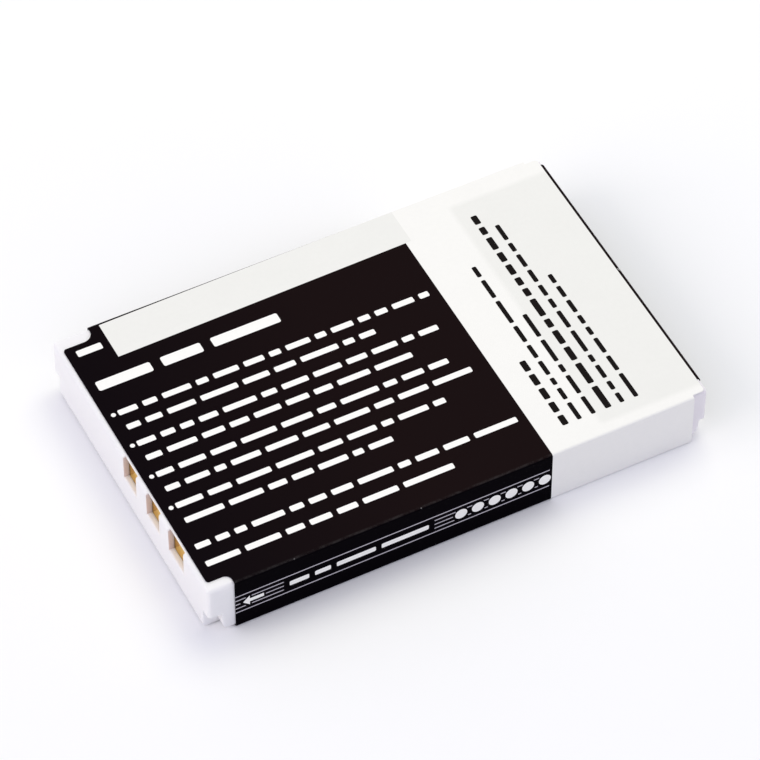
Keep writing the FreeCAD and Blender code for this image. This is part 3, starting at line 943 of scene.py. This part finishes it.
@dataclass
class PrintedFilm:
    """The film round the pack and all that is printed on it, in millimetres."""

    slot: str = "printed_film"
    seed: int = 7
    print_shift: float = -0.06
    front_shift: Point = (-0.06, 0.126)
    margin: float = -24.6
    bullet: float = -25.1
    bullet_r: float = 0.24
    heading: float = 9.95
    heading_words: tuple[float, ...] = (-25.0, -18.2, -12.9, -4.7)
    heading_gap: float = 1.1
    heading_half: float = 0.6
    heading_corner: float = 0.2
    row_height: float = 0.66
    row_gap: float = 0.6
    row_words: Span = (1.0, 4.0)
    row_pitch: float = 1.95
    pair_pitch: float = 4.2
    first_row: float = 6.1
    pair_ends: tuple[Span, ...] = ((8.4, 1.6), (7.2, 3.4), (6.1, 7.6), (3.6, -3.0))
    closing: tuple[Point, ...] = ((8.5, -11.7), (0.6, -13.95))
    tag: tuple[float, float, float, float] = (-25.0, -22.4, 14.1, 14.9)
    notes_start: float = -14.4
    notes: tuple[Point, ...] = (
        (12.3, -5.6), (13.8, 7.1), (15.3, -0.5), (16.9, 13.0), (18.4, 10.9), (19.9, 2.9)
    )
    note_height: float = 0.48
    note_gap: float = 0.5
    note_words: Span = (0.9, 3.2)
    bold_notes: tuple[int, ...] = (0, 3)
    bold_height: float = 0.66
    band_slope: float = 0.0052
    band_middle: float = 3.24
    band_height: float = 0.62
    band_words: Span = (1.6, 4.2)
    band_ends: Span = (-18.1, -3.6)
    stripe: float = 0.115
    stripe_corner: float = 0.03
    stripe_offset: float = 1.16
    stripe_ends: Span = (-23.7, 9.2)
    hatch: tuple[float, ...] = (-0.57, 0.0, 0.57)
    hatch_end: float = -18.7
    arrow_tip: float = -22.9
    arrow_tail: float = -20.75
    arrow_head: float = 0.7
    arrow_half: float = 0.66
    arrow_shaft: float = 0.22
    arrow_clear: float = 0.2
    tip_clear: float = 0.28
    head_share: float = 0.69
    tail_hatch: float = -3.0
    tail_hatch_ends: tuple[float, ...] = (-0.9, -1.05, -0.78)
    dots: int = 6
    dot_first: float = -0.19
    dot_pitch: float = 1.778
    dot_r: float = 0.64
    dash_halves: tuple[float, ...] = (0.17, 0.0, 0.28)

    def __post_init__(self) -> None:
        """Finds the faces that take print."""
        low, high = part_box("wrap_label")
        middle = Vector((0, self.print_shift * MM, high.z))
        self.top = PrintFace(middle, Vector((1, 0, 0)), Vector((0, 1, 0)))
        self.turned = PrintFace(middle, Vector((0, 1, 0)), Vector((-1, 0, 0)))
        corner = Vector((self.front_shift[0] * MM, low.y, self.front_shift[1] * MM))
        self.front = PrintFace(corner, Vector((1, 0, 0)), Vector((0, 0, 1)))
        self.draw = random.Random(self.seed)

    def build(self) -> None:
        """Dresses the film and prints it."""
        dress("wrap_label", FILM)
        self._rows().build(WHITE_INK, self.slot)
        self._notes().build(DARK_INK, self.slot)
        self._band().build(WHITE_INK, self.slot)
        self._lines().build(GREY_INK, self.slot)

    def _rows(self) -> InkSheet:
        """Lays out the white rows on the dark field.

        Returns:
            The sheet, not built yet.
        """
        sheet = InkSheet("print_rows", self.top)
        words = WordRows(self.row_height, self.row_gap, self.row_words, self.draw)
        sheet.add(bar_outline(*self.tag, words.corner))
        low, high = self.heading - self.heading_half, self.heading + self.heading_half
        for start, end in zip(self.heading_words, self.heading_words[1:]):
            sheet.add(bar_outline(start, end - self.heading_gap, low, high, self.heading_corner))
        for pair, ends in enumerate(self.pair_ends):
            level = self.first_row - pair * self.pair_pitch
            sheet.add(dot_outline(self.bullet, level, self.bullet_r))
            for row, end in enumerate(ends):
                sheet.add(*words.bars(self.margin, end, level - row * self.row_pitch))
        for end, level in self.closing:
            sheet.add(*words.bars(self.bullet, end, level))
        return sheet

    def _notes(self) -> InkSheet:
        """Lays out the dark rows on the white field, turned a quarter.

        Returns:
            The sheet, not built yet.
        """
        sheet = InkSheet("print_notes", self.turned)
        for row, (level, end) in enumerate(self.notes):
            height = self.bold_height if row in self.bold_notes else self.note_height
            words = WordRows(height, self.note_gap, self.note_words, self.draw)
            sheet.add(*words.bars(self.notes_start, end, -level))
        return sheet

    def _band(self) -> InkSheet:
        """Lays out the white shapes on the front side: an arrow, a row of bars and a row of dots.

        Returns:
            The sheet, not built yet.
        """
        sheet = InkSheet("print_band", self.front)
        words = WordRows(self.band_height, self.row_gap, self.band_words, self.draw)
        sheet.add(self._arrow(), *words.bars(*self.band_ends, self.band_middle), slope=self.band_slope)
        for dot in range(self.dots):
            middle = self.dot_first + dot * self.dot_pitch
            sheet.add(dot_outline(middle, self.band_middle, self.dot_r), slope=self.band_slope)
        return sheet

    def _lines(self) -> InkSheet:
        """Lays out the thin lines on the front side: two long stripes, and short ones by the shapes.

        Returns:
            The sheet, not built yet.
        """
        sheet = InkSheet("print_lines", self.front)
        runs = [(*self.stripe_ends, offset) for offset in (-self.stripe_offset, self.stripe_offset)]
        runs += [(*run, offset) for line, offset in enumerate(self.hatch) for run in self._broken(line)]
        for start, end, offset in runs:
            level = self.band_middle + offset
            low, high = level - self.stripe / 2, level + self.stripe / 2
            sheet.add(bar_outline(start, end, low, high, self.stripe_corner), slope=self.band_slope)
        return sheet

    def _broken(self, line: int) -> Iterator[Span]:
        """Gives the runs of one short line, which the arrow, the bars and the dots break.

        Args:
            line: place of the line in the hatch.

        Yields:
            The start and the end of each run.
        """
        straight = self.hatch[line] == 0
        neck = self.arrow_tip + self.arrow_head
        flank = self.arrow_tip + self.arrow_head * self.head_share
        yield self.stripe_ends[0], self.arrow_tip - self.tip_clear if straight else flank - self.arrow_clear
        yield (self.arrow_tail if straight else neck) + self.arrow_clear, self.hatch_end
        yield self.tail_hatch, self.tail_hatch_ends[line]
        half = self.dash_halves[line]
        for gap in range(self.dots - 1 if half else 0):
            middle = self.dot_first + (gap + 0.5) * self.dot_pitch
            yield middle - half, middle + half

    def _arrow(self) -> Outline:
        """Outline of the arrow that points to the contact end.

        Returns:
            The points, counter-clockwise.
        """
        neck = self.arrow_tip + self.arrow_head
        middle = self.band_middle
        return [
            (self.arrow_tip, middle),
            (neck, middle - self.arrow_half),
            (neck, middle - self.arrow_shaft),
            (self.arrow_tail, middle - self.arrow_shaft),
            (self.arrow_tail, middle + self.arrow_shaft),
            (neck, middle + self.arrow_shaft),
            (neck, middle + self.arrow_half),
        ]


@dataclass
class EndCaps:
    """The two moulded caps and the gilt plates behind the windows of one of them, in millimetres."""

    plates: tuple[str, ...] = ("contact_positive", "contact_signal", "contact_negative")
    # A darker, lilac copy of the cap plastic for the tail cap: painted shade.
    tail_shade_colour: Colour = (0.8, 0.765, 0.8)
    lap: float = 0.4
    mouth: float = 0.05
    lip: float = 0.3

    def build(self) -> None:
        """Dresses both caps and the plates."""
        # The tail cap gets the darker copy of the cap plastic: painted shade.
        dress("tail_cap", MouldedPlastic("cap_plastic", **{**CAP, "colour": self.tail_shade_colour}))
        boxes = [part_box(node) for node in self.plates]
        lows, highs = zip(*boxes)
        cap_low, cap_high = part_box("contact_cap")
        front, sill = (min(low[axis.value] for low in lows) for axis in (Axis.Y, Axis.Z))
        start = Vector((cap_low.x + self.mouth * MM, front, sill))
        end = Vector((lows[0].x, max(high.y for high in highs), cap_high.z - self.lip * MM))
        dress("contact_cap", WindowedPlastic("window_plastic", **CAP, low=start, high=end))
        for node, (low, high) in zip(self.plates, boxes):
            rims = {"wall": high.y - self.lap * MM, "sill": low.z + self.lap * MM}
            dress(node, GiltPlate("gilt_" + node, **GILT, **rims))


@dataclass
class PowerCell:
    """The sealed can, the fittings of its lid and the pad on its base."""

    shell: tuple[str, ...] = ("cell", "fill_plug")
    strips: tuple[str, ...] = ("negative_terminal", "positive_tab", "negative_tab")

    def build(self) -> None:
        """Dresses the can and all that is joined to it."""
        for node in self.shell:
            dress(node, CAN)
        for node in self.strips:
            dress(node, NICKEL)
        dress("terminal_gasket", GASKET)
        dress("lid_insulator", FIBRE)
        dress("tail_tape", PAD)


@dataclass
class ProtectionBoard:
    """The board behind the contacts and the parts on it, with the sizes of their bodies in millimetres."""

    chip_width: float = 1.6
    band_length: float = 0.3
    resin: Colour = (0.028, 0.028, 0.031)
    resin_roughness: float = 0.55
    fired_roughness: float = 0.5
    chips: tuple[str, ...] = ("protection_chip", "switch_transistor")
    small_parts: dict[str, Colour] = field(
        default_factory=lambda: {
            "resistor_1": (0.03, 0.03, 0.035),
            "resistor_2": (0.03, 0.03, 0.035),
            "capacitor_1": (0.42, 0.29, 0.18),
            "capacitor_2": (0.42, 0.29, 0.18),
            "thermistor": (0.09, 0.1, 0.09),
        }
    )

    def build(self) -> None:
        """Dresses the board, the chips and the small parts."""
        dress("circuit_board", BOARD)
        for node in self.chips:
            low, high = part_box(node)
            body = {"axis": Axis.Z, "middle": (low.z + high.z) / 2, "body_half": self.chip_width / 2 * MM}
            dress(node, TinnedEnds("resin_" + node, self.resin, self.resin_roughness, **body))
        for node, colour in self.small_parts.items():
            low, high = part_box(node)
            half = (high.y - low.y) / 2 - self.band_length * MM
            body = {"middle": (low.y + high.y) / 2, "body_half": half}
            dress(node, TinnedEnds("fired_" + node, colour, self.fired_roughness, **body))


@dataclass(frozen=True)
class Lamp:
    """A square lamp: its direction from the pack, and how bright it makes a white sheet that faces it."""

    name: str
    towards: tuple[float, float, float]
    level: float
    colour: Colour
    size: float = 0.4


@dataclass
class Studio:
    """Pale floor, soft light and the camera, in metres and degrees."""

    azimuth: float = -27.179
    elevation: float = 49.746
    distance: float = 0.448003
    target: tuple[float, float, float] = (0.0, -0.00006, 0.003)
    shift_right: float = -0.000007
    shift_up: float = -0.001027
    focal_px: float = 4682.5
    frame_px: int = 760
    sensor: float = 36.0
    clip_start: float = 0.01
    floor_half: float = 3.0
    floor_cells: int = 8
    floor_drop: float = 0.00002
    floor_colour: Colour = (0.955, 0.955, 0.96)
    floor_gain: float = 1.01
    floor_patch: float = 30.0
    floor_roughness: float = 0.9
    world_level: float = 0.722
    world_colour: Colour = (0.82, 0.835, 1.0)
    lamp_reach: float = 0.6
    lamps: tuple[Lamp, ...] = (
        Lamp("back", (0.354, 0.354, 0.866), 0.31, (1.0, 1.0, 0.7)),
        Lamp("tail", (0.5, 0.0, 0.866), 0.115, (1.0, 0.98, 0.85)),
        Lamp("contact", (-0.866, 0.0, 0.5), 0.286, (1.0, 0.907, 0.806)),
    )

    def build(self) -> None:
        """Sets up the floor, the world, the lamps and the camera."""
        self._floor()
        self._world()
        for lamp in self.lamps:
            self._lamp(lamp)
        self._camera()
        bpy.context.scene.view_settings.view_transform = "Standard"

    def _floor(self) -> None:
        """Lays a plain pale floor under the pack."""
        mesh = bmesh.new()
        cells = self.floor_cells
        bmesh.ops.create_grid(mesh, x_segments=cells, y_segments=cells, size=self.floor_half)
        data = bpy.data.meshes.new("floor")
        mesh.to_mesh(data)
        mesh.free()
        gloss = {"Roughness": self.floor_roughness, "Specular_IOR_Level": 0.0}
        material, graph, shader = new_material("floor_paper", **gloss)
        pale = tuple(min(1.0, part * self.floor_gain) for part in self.floor_colour)
        colour = graph.mix(cloud(graph, self.floor_patch), self.floor_colour, pale)
        graph.feed(shader, {"Base Color": colour})
        data.materials.append(material)
        floor = bpy.data.objects.new("floor", data)
        floor.location.z = -self.floor_drop
        bpy.context.scene.collection.objects.link(floor)

    def _world(self) -> None:
        """Sets a dim even light from all round, which the camera and reflections see as white."""
        world = bpy.data.worlds.new("studio")
        bpy.context.scene.world = world
        world.use_nodes = True
        graph = Graph(world.node_tree)
        graph.tree.nodes.clear()
        path = graph.add("ShaderNodeLightPath", {})
        seen = graph.math("MAXIMUM", path.outputs["Is Camera Ray"], path.outputs["Is Glossy Ray"])
        shown = graph.math("MAXIMUM", seen, path.outputs["Is Transmission Ray"])
        lit = graph.add("ShaderNodeBackground", {0: (*self.world_colour, 1.0), 1: self.world_level})
        white = graph.add("ShaderNodeBackground", {0: (*WHITE, 1.0), 1: 1.0})
        both = graph.add("ShaderNodeMixShader", {0: shown, 1: lit.outputs[0], 2: white.outputs[0]})
        graph.add("ShaderNodeOutputWorld", {0: both.outputs[0]})

    def _lamp(self, lamp: Lamp) -> None:
        """Adds a lamp that faces the pack.

        Args:
            lamp: lamp that is added.
        """
        light = bpy.data.lights.new(lamp.name, "AREA")
        light.shape = "SQUARE"
        light.size = lamp.size
        light.color = lamp.colour
        light.energy = lamp.level * (math.pi * self.lamp_reach) ** 2
        panel = bpy.data.objects.new(lamp.name, light)
        direction = Vector(lamp.towards).normalized()
        panel.location = Vector(self.target) + direction * self.lamp_reach
        panel.rotation_mode = "QUATERNION"
        panel.rotation_quaternion = direction.to_track_quat("Z", "Y")
        bpy.context.scene.collection.objects.link(panel)

    def _camera(self) -> None:
        """Puts the camera where the photograph was taken from."""
        turn = math.radians(self.azimuth)
        rise = math.radians(self.elevation)
        back = Vector((math.sin(turn) * math.cos(rise), -math.cos(turn) * math.cos(rise), math.sin(rise)))
        right = Vector((math.cos(turn), math.sin(turn), 0.0))
        up = back.cross(right)
        data = bpy.data.cameras.new("camera")
        data.sensor_fit = "HORIZONTAL"
        data.sensor_width = self.sensor
        data.lens = self.sensor * self.focal_px / self.frame_px
        data.clip_start = self.clip_start
        camera = bpy.data.objects.new("camera", data)
        middle = Vector(self.target) - right * self.shift_right - up * self.shift_up
        camera.location = middle + back * self.distance
        camera.rotation_mode = "QUATERNION"
        camera.rotation_quaternion = back.to_track_quat("Z", "Y")
        bpy.context.scene.collection.objects.link(camera)
        bpy.context.scene.camera = camera


CAP = {"colour": (0.865, 0.855, 0.865), "roughness": 0.48, "mottle": 0.02, "bump": 0.12, "glow": 0.6}
FILM = PrintedFields("printed_film", (0.0092, 0.0046, 0.0052), 0.36, mottle=0.03, bump=0.1)
PRINT = {"roughness": 0.42, "mottle_scale": 900.0, "bump": 0.15}
WHITE_INK = Ink("white_ink", (0.94, 0.93, 0.9), mottle=0.05, **PRINT)
GREY_INK = Ink("grey_ink", (0.56, 0.53, 0.58), mottle=0.05, **PRINT)
DARK_INK = Ink("dark_ink", (0.01, 0.008, 0.008), mottle=0.15, sheen=0.01, **PRINT)
GILT = {
    "colour": (0.77, 0.53, 0.18),
    "roughness": 0.13,
    "lines_along": Axis.Z,
    "edge": (1.0, 0.85, 0.55),
    "tarnish": (0.48, 0.3, 0.08),
}
CAN = WorkedMetal("can_metal", (0.76, 0.77, 0.78), 0.34, lines_along=Axis.X)
NICKEL = WorkedMetal("nickel", (0.68, 0.67, 0.64), 0.3, lines_along=Axis.Y)
GASKET = MouldedPlastic("gasket_plastic", (0.82, 0.82, 0.78), 0.5)
FIBRE = PressedFibre("fibre_sheet", (0.6, 0.54, 0.4), 0.75, bump=0.4)
PAD = PressedFibre("tape_foam", (0.72, 0.71, 0.67), 0.8, bump=0.4)
BOARD = Laminate("board_laminate", (0.04, 0.22, 0.11), 0.35, bump=0.3)


def main() -> None:
    """Builds the pack's looks in order."""
    logging.basicConfig(level=logging.INFO, format="%(name)s: %(message)s")
    for part in (PowerCell(), ProtectionBoard(), EndCaps(), PrintedFilm(), Studio()):
        part.build()
        LOG.info("finished %s", type(part).__name__)


if __name__ == "__main__":
    main()
